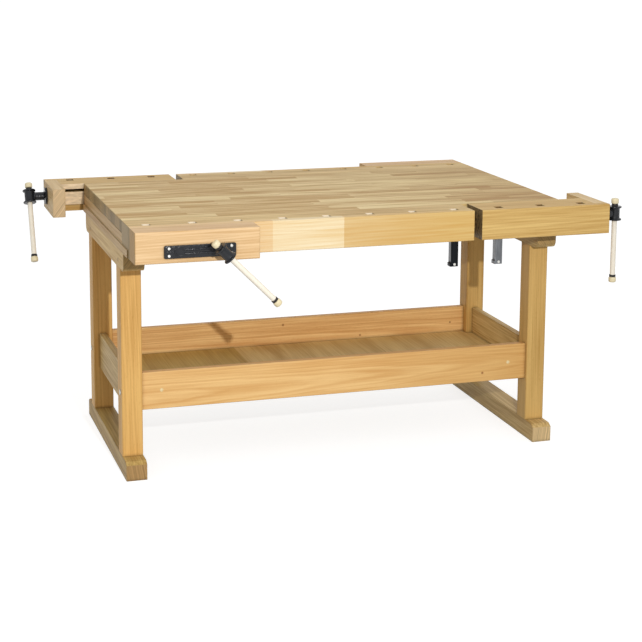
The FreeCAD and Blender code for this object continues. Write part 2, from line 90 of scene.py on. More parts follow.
# %% [markdown]
# ## Shader nodes
# Every material here is a small net of nodes. One function adds any node with its settings and its
# links. An input that is handed another node takes that node's first output in use, and one that is
# handed a socket takes that socket. Two more clear a tree and start an empty material.

# %% Shader nodes
multiplied = {"data_type": "RGBA", "blend_type": "MULTIPLY"}


def set_inputs(node, inputs):
    """Links each input that is given a node or a socket, and sets any other."""
    for name, value in inputs.items():
        if isinstance(value, bpy.types.Node):
            value = next(socket for socket in value.outputs if socket.enabled)
        if isinstance(value, bpy.types.NodeSocket):
            node.id_data.links.new(value, node.inputs[name])
        else:
            node.inputs[name].default_value = value


def add_node(tree, kind, inputs=None, **settings):
    """Adds a shader node with its settings and links."""
    node = tree.nodes.new(f"ShaderNode{kind}")
    for name, value in settings.items():
        setattr(node, name, value)
    set_inputs(node, inputs or {})
    return node


def empty_tree(owner):
    """The cleared node tree of a material or a world."""
    owner.use_nodes = True
    owner.node_tree.nodes.clear()
    return owner.node_tree


def new_material(name):
    """An empty material with its shader and output joined. Returns it, its tree and its shader."""
    material = bpy.data.materials.new(name)
    tree = empty_tree(material)
    shader = add_node(tree, "BsdfPrincipled")
    add_node(tree, "OutputMaterial", {"Surface": shader})
    return material, tree, shader


# %% [markdown]
# ## Where a board lies in the tree
# Solid wood looks right when its colour comes from one solid log, so that the face shows long
# tongues and the end shows arcs of the same rings. Each board therefore gets its own coordinates:
# the grain runs along X, and the tree's heart is a line near X = 0 that is tilted a little, because
# no board is sawn quite true to the tree. Object coordinates keep the grain fixed in the wood, so
# it goes with a board when a vise moves.

# %% A board's place in the tree
grain_turns = {
    "x": (0, 0, 0),
    "y": (0, 0, math.radians(-90)),
    "z": (0, math.radians(90), 0),
}
tree_tilt = (0, math.radians(1.4), math.radians(0.9))


def log_place(tree, grain, heart):
    """Coordinates with the grain along X, and how squarely a face meets the grain, from 0 to 1.
    heart is where the middle of the tree lies across the grain."""
    place = add_node(tree, "TexCoord").outputs
    turn = grain_turns[grain]
    turned = add_node(tree, "Mapping", {
        "Vector": place["Object"], "Rotation": turn, "Location": (0, -heart[0], -heart[1])})
    normal = add_node(tree, "Mapping", {"Vector": place["Normal"], "Rotation": turn},
                      vector_type="NORMAL")
    facing = add_node(tree, "SeparateXYZ", {"Vector": normal})
    square = add_node(tree, "Math", {0: facing.outputs["X"]}, operation="ABSOLUTE")
    return turned, square


# %% [markdown]
# ## Staves
# A bench top is glued up from staves, each from another board. A grid of cells stands for them:
# rows by floor of the place across, then lengths by floor of the place along, with every row moved
# by a random share so that the butt joints don't line up. White noise gives each cell a shade and
# a jump in the log, so the grain breaks at the glue lines as it does in a real laminated top. A
# glue line is a tenth of a millimetre or less. Here it fades out over 1.2 mm, so that it shows.

# %% Staves
log_spread = (4, 0.16, 0.16)
glue_line = 1.2 * mm
glue_dark = 0.25


def add_staves(tree, place, size):
    """The place moved to each stave's own part of the log, each stave's shade from 0 to 1, and a
    mask of the glue lines. size is the width, height and length of a stave."""
    width, height, length = size
    parts = add_node(tree, "SeparateXYZ", {"Vector": place}).outputs
    rows = {}
    for axis, pitch in (("Y", width), ("Z", height)):
        share = add_node(tree, "Math", {0: parts[axis], 1: pitch}, operation="DIVIDE")
        rows[axis] = add_node(tree, "Math", {0: share}, operation="FLOOR")
    edge = add_node(tree, "Math", {0: parts["Y"], 1: width / 2}, operation="PINGPONG")
    line = add_node(tree, "MapRange", {
        "Value": edge, "From Min": 0, "From Max": glue_line, "To Min": 1, "To Max": 0})
    row = add_node(tree, "CombineXYZ", rows)
    jump = add_node(tree, "TexWhiteNoise", {"Vector": row})
    along = add_node(tree, "Math", {0: parts["X"], 1: 1 / length, 2: jump},
                     operation="MULTIPLY_ADD")
    column = add_node(tree, "Math", {0: along}, operation="FLOOR")
    stave = add_node(tree, "CombineXYZ", {"X": column, **rows})
    own = add_node(tree, "TexWhiteNoise", {"Vector": stave})
    centred = add_node(tree, "VectorMath", {0: own.outputs["Color"], 1: (0.5, 0.5, 0.5)},
                       operation="SUBTRACT")
    spread = add_node(tree, "VectorMath", {0: centred, 1: log_spread}, operation="MULTIPLY")
    moved = add_node(tree, "VectorMath", {0: place, 1: spread}, operation="ADD")
    return moved, own, line


# %% [markdown]
# ## Rings, streaks and flecks
# Beech shows three things. The growth rings give soft bands: here they are one-dimensional noise of
# the distance from the heart, which is uneven as real years are. Fine streaks run along the grain.
# The rays give short dark flecks, about 0.5 mm by 3 mm in the wood and drawn 2 mm by 11 mm so that
# they show. The pores run as fine lines of well under a millimetre, and their streaks are drawn
# 6 mm wide. A few darker veins follow the grain where the tree stored colour. All are added into
# one tone, from 0 for the palest wood to 1 for the darkest.

# %% Rings, streaks and flecks
ring_width = 5 * mm
ring_waver = 7 * mm
streak_size = (240 * mm, 6 * mm)
waver_size = (300 * mm, 40 * mm)
cloud_size = (420 * mm, 60 * mm)
vein_size = (340 * mm, 17 * mm)
vein_peak = {"From Min": 0.57, "From Max": 0.66}
fleck_size = (11 * mm, 2 * mm)
fleck_peak = {"From Min": 0.66, "From Max": 0.74}
fleck_depth = 0.16
tone_range = {"From Min": 0.39, "From Max": 0.63}


def drawn_noise(tree, place, size, detail):
    """Noise that is drawn out along the grain. size is its length and its width."""
    length, width = size
    scaled = add_node(tree, "VectorMath", {0: place, 1: (1 / length, 1 / width, 1 / width)},
                      operation="MULTIPLY")
    return add_node(tree, "TexNoise", {"Vector": scaled, "Scale": 1.0, "Detail": detail})


def add_rings(tree, place):
    """Uneven growth rings round the heart, from 0 to 1."""
    tilted = add_node(tree, "Mapping", {"Vector": place, "Rotation": tree_tilt})
    across = add_node(tree, "VectorMath", {0: tilted, 1: (0, 1, 1)}, operation="MULTIPLY")
    radius = add_node(tree, "VectorMath", {0: across}, operation="LENGTH")
    noise = drawn_noise(tree, place, waver_size, 2.0)
    waver = add_node(tree, "Math", {0: noise, 1: ring_waver, 2: radius},
                     operation="MULTIPLY_ADD")
    year = add_node(tree, "Math", {0: waver, 1: ring_width}, operation="DIVIDE")
    return add_node(tree, "TexNoise", {"W": year, "Scale": 1.0, "Detail": 2.0},
                    noise_dimensions="1D")


def add_tone(tree, place, rings, shares, veins):
    """Rings, clouds and streaks mixed by shares and stretched, with dark veins and ray flecks."""
    streaks = drawn_noise(tree, place, streak_size, 4.0)
    clouds = drawn_noise(tree, place, cloud_size, 2.0)
    total = add_node(tree, "Math", {0: rings, 1: shares[0]}, operation="MULTIPLY")
    for part, share in ((clouds, shares[1]), (streaks, shares[2])):
        total = add_node(tree, "Math", {0: part, 1: share, 2: total}, operation="MULTIPLY_ADD")
    tone = add_node(tree, "MapRange", {"Value": total, **tone_range})
    for size, detail, peak, depth in ((vein_size, 1.0, vein_peak, veins),
                                      (fleck_size, 0.0, fleck_peak, fleck_depth)):
        noise = drawn_noise(tree, place, size, detail)
        marks = add_node(tree, "MapRange", {"Value": noise, **peak, "To Max": depth})
        tone = add_node(tree, "Math", {0: tone, 1: marks}, operation="ADD")
    return tone, streaks


# %% [markdown]
# ## Tints along a board, knots and hole walls
# A board may be glued up end to end from several pieces, or be painted darker towards one end as
# painted shade: both are changes of tint along it. Small knots go right through a board. The walls
# of the dog holes are cut by the saw and not oiled, so a mask by place and by direction gives them,
# and the inside of the tail vise's bar, their own blotchy colour. These colours are partly painted
# light and shade: pale where light falls on the back walls of the apron's holes, dark in the tail
# vise's holes, and dark and mottled on the end of the bar in the gap. The saw's marks are drawn
# larger than they are, so that they show.

# %% Tints, knots and hole walls
knot_colour = "#9a5f34"
knot_heart = 0.4
knot_cover = 0.85
chip_and_mottle_size = (26 * mm, 8 * mm)
squarely = 0.7
noise_range = {"From Min": 0.3, "From Max": 0.7}


def add_tints_along(tree, colour, first, changes):
    """Tints a board along X, from the first tint. changes holds where each starts and is done,
    and the tint that it comes to."""
    place = add_node(tree, "TexCoord").outputs["Object"]
    along = add_node(tree, "SeparateXYZ", {"Vector": place}).outputs["X"]
    tint = linear(first)
    for start, done, next_tint in changes:
        beyond = add_node(tree, "MapRange", {"Value": along, "From Min": start, "From Max": done})
        tint = add_node(tree, "Mix", {"Factor": beyond, "A": tint, "B": linear(next_tint)},
                        data_type="RGBA")
    return add_node(tree, "Mix", {"Factor": 1.0, "A": colour, "B": tint}, **multiplied)


def add_knots(tree, colour, knots):
    """Draws small knots through a board. knots holds each place along X, height and radius."""
    place = add_node(tree, "TexCoord").outputs["Object"]
    flat = add_node(tree, "VectorMath", {0: place, 1: (1, 0, 1)}, operation="MULTIPLY")
    for along, up, radius in knots:
        away = add_node(tree, "VectorMath", {0: flat, 1: (along, 0, up)}, operation="DISTANCE")
        mask = add_node(tree, "MapRange", {
            "Value": away, "From Min": radius * knot_heart, "From Max": radius,
            "To Min": knot_cover, "To Max": 0.0})
        colour = add_node(tree, "Mix", {"Factor": mask, "A": colour, "B": linear(knot_colour)},
                          data_type="RGBA")
    return colour


def add_walls(tree, colour, axis, centre, reach, wall_colour, blotchiness):
    """Recolours the faces across an axis that lie within reach of a plane and its mirror image,
    partly with painted light and shade. The last argument is how blotchy they are, from 0 to 1."""
    place = add_node(tree, "TexCoord").outputs
    sizes = []
    for name in ("Object", "Normal"):
        part = add_node(tree, "SeparateXYZ", {"Vector": place[name]}).outputs[axis]
        sizes.append(add_node(tree, "Math", {0: part}, operation="ABSOLUTE"))
    inside = add_node(tree, "Math", {0: sizes[0], 1: centre, 2: reach}, operation="COMPARE")
    across = add_node(tree, "Math", {0: sizes[1], 1: squarely}, operation="GREATER_THAN")
    mask = add_node(tree, "Math", {0: inside, 1: across}, operation="MULTIPLY")
    # This noise also mottles the painted shade on the end of the tail vise's bar.
    chips_and_mottle = drawn_noise(tree, place["Object"], chip_and_mottle_size, 3.0)
    blotch = add_node(tree, "MapRange", {
        "Value": chips_and_mottle, **noise_range, "To Min": 1 - blotchiness, "To Max": 1 + blotchiness})
    wall_tone = add_node(tree, "Mix", {"Factor": 1.0, "A": linear(wall_colour), "B": blotch},
                    **multiplied)
    return add_node(tree, "Mix", {"Factor": mask, "A": colour, "B": wall_tone}, data_type="RGBA")


# %% [markdown]
# ## Oiled beech
# The tone picks a colour between a pale and a dark one. End grain drinks more oil, so a face that
# meets the grain squarely gets a browner colour with the rings as arcs on it, and each stave's end
# has its own shade. An Ambient Occlusion node darkens the corners where boards meet: this is
# painted shade. A planed board has eased edges, and a Bevel node rounds them for the light only.
#
# Oil leaves a low sheen, a little duller in the streaks. Wood under oil bends light about as glass
# does, so its IOR is 1.5, but the film is thin and broken by pores, which weakens what it mirrors.

# %% Oiled beech
arris = 2.5 * mm
grain_relief = 0.25 * mm
relief_strength = 0.3
corner_reach = 14 * mm
corner_shade_range = {"From Min": 0.35, "From Max": 0.9, "To Min": 0.5}
arc_range = {**noise_range, "To Min": 0.72, "To Max": 1.15}
end_range = {"From Min": 0.6, "From Max": 0.85}
sheen_range = {"To Min": 0.42, "To Max": 0.58}
end_contrast = 0.28
oil_ior = 1.5
oil_shine = 0.22


def make_beech(name, grain, pale, dark, end, heart=(40 * mm, 150 * mm), staves=None,
               contrast=0.0, shares=(0.25, 0.25, 0.5), veins=0.2, blocks=(), knots=(), walls=()):
    """Oiled beech. contrast is how far the staves differ in tone."""
    material, tree, shader = new_material(name)
    wood, square = log_place(tree, grain, heart)
    if staves:
        wood, shade, glue = add_staves(tree, wood, staves)
    rings = add_rings(tree, wood)
    tone, streaks = add_tone(tree, wood, rings, shares, veins)
    end_tone = add_node(tree, "MapRange", {"Value": rings, **arc_range})
    if staves:
        offset = add_node(tree, "MapRange", {
            "Value": shade, "To Min": -contrast, "To Max": contrast})
        shaded = add_node(tree, "Math", {0: tone, 1: offset}, operation="ADD")
        tone = add_node(tree, "Math", {0: glue, 1: glue_dark, 2: shaded},
                        operation="MULTIPLY_ADD")
        end_shade = add_node(tree, "MapRange", {
            "Value": shade, "To Min": 1 - end_contrast, "To Max": 1 + end_contrast})
        end_tone = add_node(tree, "Math", {0: end_tone, 1: end_shade}, operation="MULTIPLY")
    colour = add_node(tree, "Mix", {"Factor": tone, "A": linear(pale), "B": linear(dark)},
                      data_type="RGBA")
    if blocks:
        colour = add_tints_along(tree, colour, *blocks)
    if knots:
        colour = add_knots(tree, colour, knots)
    ends = add_node(tree, "Mix", {"Factor": 1.0, "A": linear(end), "B": end_tone}, **multiplied)
    at_end = add_node(tree, "MapRange", {"Value": square, **end_range})
    surface = add_node(tree, "Mix", {"Factor": at_end, "A": colour, "B": ends}, data_type="RGBA")
    for wall in walls:
        surface = add_walls(tree, surface, *wall)
    # Painted shade: an Ambient Occlusion node darkens the corners where boards meet.
    corner = add_node(tree, "AmbientOcclusion", {"Distance": corner_reach}, samples=8)
    corner_shade = add_node(tree, "MapRange", {"Value": corner.outputs["AO"], **corner_shade_range})
    surface = add_node(tree, "Mix", {"Factor": 1.0, "A": surface, "B": corner_shade}, **multiplied)
    eased = add_node(tree, "Bevel", {"Radius": arris}, samples=4)
    relief = add_node(tree, "Bump", {
        "Height": streaks, "Strength": relief_strength, "Distance": grain_relief,
        "Normal": eased})
    sheen = add_node(tree, "MapRange", {"Value": streaks, **sheen_range})
    set_inputs(shader, {"Base Color": surface, "Normal": relief, "Roughness": sheen,
                        "IOR": oil_ior, "Specular IOR Level": oil_shine})
    return material


# %% [markdown]
# ## A finish for each cut
# All of it is the same timber, but each piece came from another board, so each kind of piece has
# its own pair of colours and its own way through the log. The top's staves are 42 mm wide and about
# half a metre long. The apron is a little darker from its left end to just right of the jaw, its
# middle block is nearly cream, and its last block deepens a little along its length. The top and
# the front rail are painted darker towards their right end, as painted shade where the light falls
# off. The bearers and the legs are each a lit and a shaded copy of one finish: the right ones'
# darker colours are painted shade. The hole walls' colours are partly painted light and shade.

# %% Beech finishes
stave_size = (42 * mm, 200 * mm, 480 * mm)
# The apron is a little darker from its left end to just right of the jaw.
apron_tints = ("#f3e7db", ((-298 * mm, -297 * mm, "#f8f7f8"), (-61 * mm, -60 * mm, "#e6d7bd"),
                            (-50 * mm, 320 * mm, "#e1cda1")))
# Painted shade: the top and the front rail darker towards their right end.
right_end_painted_shade = ("#ffffff", ((0, 800 * mm, "#e7deca"),))
hole_walls = ("Y", 469 * mm, 20 * mm)
skin = 4 * mm
bar_inside = ("Y", 378 * mm, skin)
# Painted shade: the end of the tail vise's bar, seen dark in the gap.
bar_end_painted_shade = ("X", 418 * mm, skin)
rail_shares = {"shares": (0.45, 0.2, 0.35)}
leg_shares = {"shares": (0.25, 0.35, 0.3)}
beech_cuts = (
    ("staves", "x", "#f3dba2", "#bc9049", "#a28759",
     {"staves": stave_size, "contrast": 0.36, "veins": 0.5, "blocks": right_end_painted_shade}),
    ("apron", "x", "#fdecc4", "#f2d49c", "#a88f62",
     {"heart": (0, 120 * mm), "blocks": apron_tints, "walls": ((*hole_walls, "#d3b27c", 0.1),)}),
    # Painted light: the pale back walls of the apron's dog holes.
    ("dog_strip", "x", "#efd193", "#b89153", "#b79e72",
     {"walls": ((*hole_walls, "#ffeed2", 0.05),)}),
    ("jaw", "x", "#efcc9c", "#d2a873", "#c79f62", {}),
    # Painted shade: the dark walls of the tail vise's holes and the dark mottled end of its bar.
    ("tail_vise", "x", "#e2bf7a", "#c49b58", "#937a4b",
     {"walls": ((*hole_walls, "#7d5d35", 0.1), (*bar_inside, "#edd5b0", 0.2),
                (*bar_end_painted_shade, "#7a6544", 0.75))}),
    ("end_block", "y", "#eccf9c", "#c9a56c", "#dcbe92", {}),
    ("front_rail", "x", "#f9ce8c", "#e3ae6a", "#b08a5a",
     {**rail_shares, "heart": (-380 * mm, 265 * mm), "blocks": right_end_painted_shade,
      "knots": ((521 * mm, 242 * mm, 6 * mm),)}),
    ("rear_rail", "x", "#fad190", "#daa464", "#a87f4e",
     {**rail_shares, "heart": (200 * mm, 240 * mm),
      "knots": ((-39 * mm, 312 * mm, 6 * mm), (264 * mm, 252 * mm, 5 * mm),
                (629 * mm, 277 * mm, 5 * mm))}),
    ("cross_pieces", "y", "#e3c688", "#b49157", "#dabc8a", {}),
    ("left_foot", "y", "#ccad6a", "#9e7b40", "#b48f5c", {}),
    ("end_boards", "y", "#e2c390", "#c0975f", "#c0a274", {}),
    # Painted light and shade: the two bearers below are a lit and a shaded copy of one finish.
    ("left_bearer", "y", "#fcdb98", "#d4ac6b", "#b3945f", {}),
    ("right_bearer", "y", "#d7bb7a", "#ac8d52", "#b3945f", {}),
    # Painted shade: the right legs below are a darker copy of the left legs' finish.
    ("left_legs", "z", "#edbd71", "#cd9850", "#b08a5a", leg_shares),
    ("right_legs", "z", "#dab26c", "#b88e4b", "#b08a5a", leg_shares),
)
beech = {cut: make_beech(f"oiled_beech_{cut}", *looks, **more)
         for cut, *looks, more in beech_cuts}
print("beech finishes", len(beech))

# %% [markdown]
# ## Birch plywood
# The tray's bottom is plywood. Its face veneer is peeled from the log, so the figure is broad and
# wavy, and here it runs from front to back, in sheets that were joined edge to edge. The same
# builder makes it, with wide staves and duller, greener colours.

# %% Plywood
veneer_size = (270 * mm, 200 * mm, 2000 * mm)
# The tray's bottom is a little darker left of this line.
tray_tint_step = -230 * mm
tray_tints = ("#e5dfc0", ((tray_tint_step, tray_tint_step + 1 * mm, "#ffffff"),))
beech["ply"] = make_beech("birch_plywood", "y", "#e6cb8c", "#c4a166", "#8a6c42",
                          staves=veneer_size, contrast=0.2, shares=(0.2, 0.5, 0.3), veins=0.0,
                          blocks=tray_tints)

# %% [markdown]
# ## Black enamelled castings
# The T hubs, the plates and the flanges are grey iron, cast in sand and stove-enamelled black. The
# enamel is nearly black and half glossy. The mould's shallow dents and the sand's grit show through
# it, and break up what it reflects. The grit is about 0.5 mm, drawn here at 1.2 mm so that it
# shows. Handling polishes the enamel in patches a few centimetres wide.

# %% Castings
dent, dent_depth = 7 * mm, 1.2 * mm
grit, grit_relief = 1.2 * mm, 0.15 * mm
bump_strength = 0.6
cast_edge = 1.2 * mm
handled_patch = 25 * mm
cast_gloss = {"To Min": 0.18, "To Max": 0.36}
cast_enamel, tree, shader = new_material("black_enamelled_cast_iron")
place = add_node(tree, "TexCoord").outputs["Object"]
relief = add_node(tree, "Bevel", {"Radius": cast_edge}, samples=6)
for size, depth in ((dent, dent_depth), (grit, grit_relief)):
    bumps = add_node(tree, "TexNoise", {"Vector": place, "Scale": 1 / size, "Detail": 1.0})
    relief = add_node(tree, "Bump", {
        "Height": bumps, "Strength": bump_strength, "Distance": depth, "Normal": relief})
wear = add_node(tree, "TexNoise", {"Vector": place, "Scale": 1 / handled_patch, "Detail": 4.0})
colour = add_node(tree, "Mix", {"Factor": wear, "A": linear("#0d0f12"), "B": linear("#22252b")},
                  data_type="RGBA")
gloss = add_node(tree, "MapRange", {"Value": wear, **cast_gloss})
set_inputs(shader, {"Base Color": colour, "Normal": relief, "Roughness": gloss,
                    "Specular IOR Level": 0.35})

# %% [markdown]
# ## Smooth finishes
# The other finishes are smooth and differ in colour, in gloss, in whether they are metal and in the
# size of their faint mottle, so one builder makes them all. Drawn steel keeps the die's long lines.
# Turned screws have a fine mottle under a film of oil. Blued steel is almost black, and the tail
# dogs get a paler copy of it, a painted reflection. Zinc plate is pale and a little milky, and
# yellow where it is passivated. The handles are a pale close-grained wood, the knobs are moulded in
# cream plastic, and the buffer rings are rubber.

# %% Smooth finishes
gloss_spread = 0.08
plastic_ior = 1.46


def make_smooth(name, light, dark, roughness, mottle, metallic=0.0, ior=1.5):
    """A smooth finish. mottle is the size of its pattern on X, Y and Z, in millimetres."""
    material, tree, shader = new_material(name)
    place = add_node(tree, "TexCoord").outputs["Object"]
    scaled = add_node(tree, "VectorMath", {0: place, 1: [1 / (size * mm) for size in mottle]},
                      operation="MULTIPLY")
    noise = add_node(tree, "TexNoise", {"Vector": scaled, "Scale": 1.0, "Detail": 4.0})
    colour = add_node(tree, "Mix", {"Factor": noise, "A": linear(light), "B": linear(dark)},
                      data_type="RGBA")
    gloss = add_node(tree, "MapRange", {
        "Value": noise, "To Min": roughness - gloss_spread, "To Max": roughness + gloss_spread})
    set_inputs(shader, {"Base Color": colour, "Roughness": gloss, "Metallic": metallic})
    if not metallic:
        set_inputs(shader, {"IOR": ior})
    return material


drawn_steel = make_smooth("drawn_steel", "#b9bbbd", "#85888b", 0.32, (1.5, 60, 1.5), 1.0)
turned_steel = make_smooth("turned_screw_steel", "#96979a", "#56585b", 0.35, (4, 4, 4), 1.0)
blued_steel = make_smooth("blued_steel", "#26292d", "#101214", 0.4, (6, 6, 40), 1.0)
# Painted reflection: a paler copy of the blued steel for the tail dogs.
dog_steel_painted_reflection = make_smooth("blued_steel_painted_reflection", "#86888b", "#505256", 0.36, (6, 6, 40), 1.0)
zinc_plate = make_smooth("zinc_plated_steel", "#dcdbd6", "#bdbcb6", 0.4, (3, 3, 3), 1.0)
yellow_zinc = make_smooth("yellow_passivated_zinc", "#eadbb2", "#b89c66", 0.4, (4, 4, 4), 1.0)
turned_wood = make_smooth("pale_turned_hornbeam", "#fff9ec", "#efe3cc", 0.45, (9, 9, 30))
cream_plastic = make_smooth("cream_moulded_plastic", "#f3e7c6", "#e2d1a2", 0.36, (20, 20, 20),
                            ior=plastic_ior)
black_rubber = make_smooth("black_rubber", "#1d1a18", "#2c2826", 0.75, (3, 3, 3))
print("materials", len(bpy.data.materials))

# %% [markdown]
# ## Dress the construction model
# A node whose shape is right only needs its finish. Each node's material slot takes one of the
# materials above, chosen by the end of the piece's name, because the name says how its grain runs.
# The first ending that fits decides, so the left legs stand before the others.

# %% Dress the nodes
finish_of = {
    "top_slab": beech["staves"], "apron_face": beech["apron"], "dog_strip": beech["dog_strip"],
    "vise_rail": beech["front_rail"], "front_tray_rail": beech["front_rail"],
    "rear_tray_rail": beech["rear_rail"], "face_vise_jaw": beech["jaw"],
    "tail_vise_bar": beech["tail_vise"], "tail_vise_end_block": beech["end_block"],
    "end_board": beech["end_boards"], "left_bearer": beech["left_bearer"],
    "right_bearer": beech["right_bearer"], "left_foot": beech["left_foot"],
    "right_foot": beech["cross_pieces"], "side_rail": beech["cross_pieces"],
    "left_front_leg": beech["left_legs"], "left_rear_leg": beech["left_legs"],
    "leg": beech["right_legs"], "tray_bottom": beech["ply"],
    "face_vise_plate": cast_enamel, "face_vise_brackets": cast_enamel,
    "tail_vise_flange": cast_enamel, "vise_screw": cast_enamel,
    "face_vise_guide_bar": drawn_steel, "tail_vise_lower_guides": drawn_steel,
    "tail_vise_nut_plates": turned_steel, "apron_dog": blued_steel, "tail_dog": blued_steel,
    "vise_handle": turned_wood, "handle_ends": cream_plastic,
}
for name, node in nodes.items():
    finish = next(m for ending, m in finish_of.items() if name.endswith(ending))
    node.data.materials.clear()
    node.data.materials.append(finish)
print("dressed", len(nodes), "nodes")

# %% [markdown]
# ## Finish a new piece
# New pieces are made in a bmesh, then finished here: doubles are merged, the piece is put in its
# place, its faces are turned outwards, and it is shaded smooth except where faces meet sharply. It
# then rides on its body of the bench.

# %% Finish a piece
merge_distance = 0.002 * mm
smooth_angle = math.radians(38)


def add_object(name, data):
    """A new object in the scene."""
    thing = bpy.data.objects.new(name, data)
    bpy.context.scene.collection.objects.link(thing)
    return thing


def finish_piece(name, shape, place, material, body, replaced=None):
    """Turns a bmesh into an object of the bench. place is where it goes, as a matrix."""
    bmesh.ops.remove_doubles(shape, verts=shape.verts, dist=merge_distance)
    bmesh.ops.transform(shape, matrix=place, verts=shape.verts)
    bmesh.ops.recalc_face_normals(shape, faces=shape.faces)
    mesh = bpy.data.meshes.new(name)
    shape.to_mesh(mesh)
    shape.free()
    mesh.materials.append(material)
    mesh.shade_smooth()
    mesh.set_sharp_from_angle(angle=smooth_angle)
    piece = add_object(name, mesh)
    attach(piece, body)
    if replaced:
        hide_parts(replaced)


# %% [markdown]
# ## A lathe
# Hubs, screws, knobs and heads are all round, so they are made as on a lathe: half the outline is
# drawn as a chain of edges from the axis out, its corners are rounded by a vertex bevel, and the
# chain is spun once round Z.

# %% Lathe
lathe_steps = 48
rounding_steps = 4


def turn_on_lathe(shape, outline, rounding=0.0):
    """Spins an outline of (radius, height) points about Z. Returns the new vertices. The corners
    between the first and the last point are rounded."""
    before = set(shape.verts)
    verts = [shape.verts.new((radius, 0, height)) for radius, height in outline]
    for pair in zip(verts, verts[1:]):
        shape.edges.new(pair)
    if rounding:
        bmesh.ops.bevel(shape, geom=verts[1:-1], offset=rounding, offset_type="OFFSET",
                        segments=rounding_steps, profile=0.5, affect="VERTICES", material=-1)
    chain = [v for v in shape.verts if v not in before]
    edges = {edge for vert in chain for edge in vert.link_edges}
    bmesh.ops.spin(shape, geom=chain + list(edges), cent=(0, 0, 0), axis=(0, 0, 1),
                   angle=math.tau, steps=lathe_steps, use_merge=True)
    return [v for v in shape.verts if v not in before]


# %% [markdown]
# ## The four screws' places and sizes
# Four vises share one screw, hub and handle. Each is made as if its screw ran along X with the
# handle along Z. The joints say where it really stands: the screw's hinge gives the axis and the
# handle's slide gives the way that the handle points. The front tail vise stands square to the
# axes, so the sizes are read from its boxes. The coupling of screw to jaw gives the thread's pitch.

# %% Places and sizes of the screws
vises = {f"{body}_vise": body for body in ("front_face", "front_tail", "rear_face", "rear_tail")}


def seat_of(vise):
    """The matrix that puts a screw's pieces in place."""
    hinge = joints[f"{vise}_screw"]
    out = Vector(hinge["axis"]).normalized()
    up = Vector(joints[f"{vise}_handle_slide"]["axis"]).normalized()
    seat = Matrix((out, up.cross(out), up)).transposed().to_4x4()
    seat.translation = Vector(hinge["pos_m"])
    return seat


def box_of(node, seat=Matrix()):
    """A node's lowest and highest corner, as seen from a seat."""
    corners = [seat.inverted() @ Vector(corner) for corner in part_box(node)]
    return [Vector([limit(parts) for parts in zip(*corners)]) for limit in (min, max)]


seats = {vise: seat_of(vise) for vise in vises}
origin = Matrix.Translation(seats["front_tail_vise"].translation)
screw_low, screw_high = box_of("front_tail_vise_screw", origin)
bar_low, bar_high = box_of("front_tail_vise_handle", origin)
ends_low, ends_high = box_of("front_tail_vise_handle_ends", origin)
flange_face = box_of("front_tail_vise_flange", origin)[1].x
hub_length = screw_high.z - screw_low.z
hub_flange = screw_high.y - screw_low.y
hub_reach = (bar_low.x + bar_high.x) / 2
bar_diameter = bar_high.x - bar_low.x
knob_diameter = ends_high.x - ends_low.x
thread_pitch = frame["record"]["behaviour"]["couplings"][0]["ratio"] * math.tau
print("hub", round(hub_length / mm, 1), "pitch", round(thread_pitch / mm, 2), "mm")

# %% [markdown]
# ## T hubs
# The hub is one casting: a stem on the screw and a cross tube that the handle slides in. Both parts
# are lathe forms with the soft edges that a sand mould leaves, the stem along the screw and the
# tube along the handle. The stem flares where it meets the tube and ends inside the tube's wall.

# %% Hubs
hub_wall = 8 * mm
hub_lip = 6 * mm
hub_neck = 1.5 * mm
tube_softness = 1.4 * mm
bore_play = 0.3 * mm
stem_gap = 0.3 * mm
stem_radius = 15 * mm
stem_flare = 2 * mm
flare_length = 7 * mm
stem_softness = 2 * mm
stem_cover = 3 * mm
along_screw = Matrix.Rotation(math.radians(90), 4, "Y")
at_hub = Matrix.Translation((hub_reach, 0, 0))
bore_radius = bar_diameter / 2 + bore_play
body_radius = bar_diameter / 2 + hub_wall
lip_radius = hub_flange / 2
half_hub = hub_length / 2
waist = half_hub - hub_lip
tube_outline = [(bore_radius, -half_hub), (lip_radius, -half_hub),
                (lip_radius, -waist - hub_neck), (body_radius, -waist + hub_neck),
                (body_radius, waist - hub_neck), (lip_radius, waist + hub_neck),
                (lip_radius, half_hub), (bore_radius, half_hub)]
stem_top = hub_reach - bore_radius - stem_cover
stem_tip = body_radius * 0.6
flare_end = hub_reach - body_radius + stem_flare
stem_outline = [(0, flange_face + stem_gap), (stem_radius, flange_face + stem_gap),
                (stem_radius, flare_end - flare_length), (stem_radius + stem_flare, flare_end),
                (stem_tip, stem_top), (0, stem_top)]
for vise, body in vises.items():
    hub = bmesh.new()
    stem = turn_on_lathe(hub, stem_outline, stem_softness)
    bmesh.ops.transform(hub, matrix=along_screw, verts=stem)
    tube = turn_on_lathe(hub, tube_outline, tube_softness)
    tube += turn_on_lathe(hub, [(bore_radius, half_hub), (bore_radius, -half_hub)])
    bmesh.ops.transform(hub, matrix=at_hub, verts=tube)
    finish_piece(f"{vise}_hub", hub, seats[vise], cast_enamel, f"{body}_screw",
                 f"{vise}_screw")

# %% [markdown]
# ## Face vise plates
# The plate that carries a face vise's screw is one sand casting. A boss covers the end of the guide
# bar, a collar stands round the screw, two round ribs stiffen the plate between them, and a low
# bead runs out to each end. The plate is a scaled cube with its corners and then its front edges
# bevelled. The boss and the collar are turned, and ribs and beads are turned bars half sunk in it.

# %% Face vise plates
plate_thickness = 6 * mm
plate_corner = 5 * mm
plate_softness = 1.5 * mm
boss_radius = 16 * mm
boss_height = 4 * mm
boss_dish = 1.2 * mm
boss_rim = 4 * mm
collar_radius = 19.5 * mm
rib_radius = 3 * mm
rib_from_middle = 6 * mm
bead_radius = 1.4 * mm
bead_inset = 6 * mm
sunk = 1 * mm
end_share = 0.9
outwards = Matrix.Rotation(math.radians(90), 4, "X")


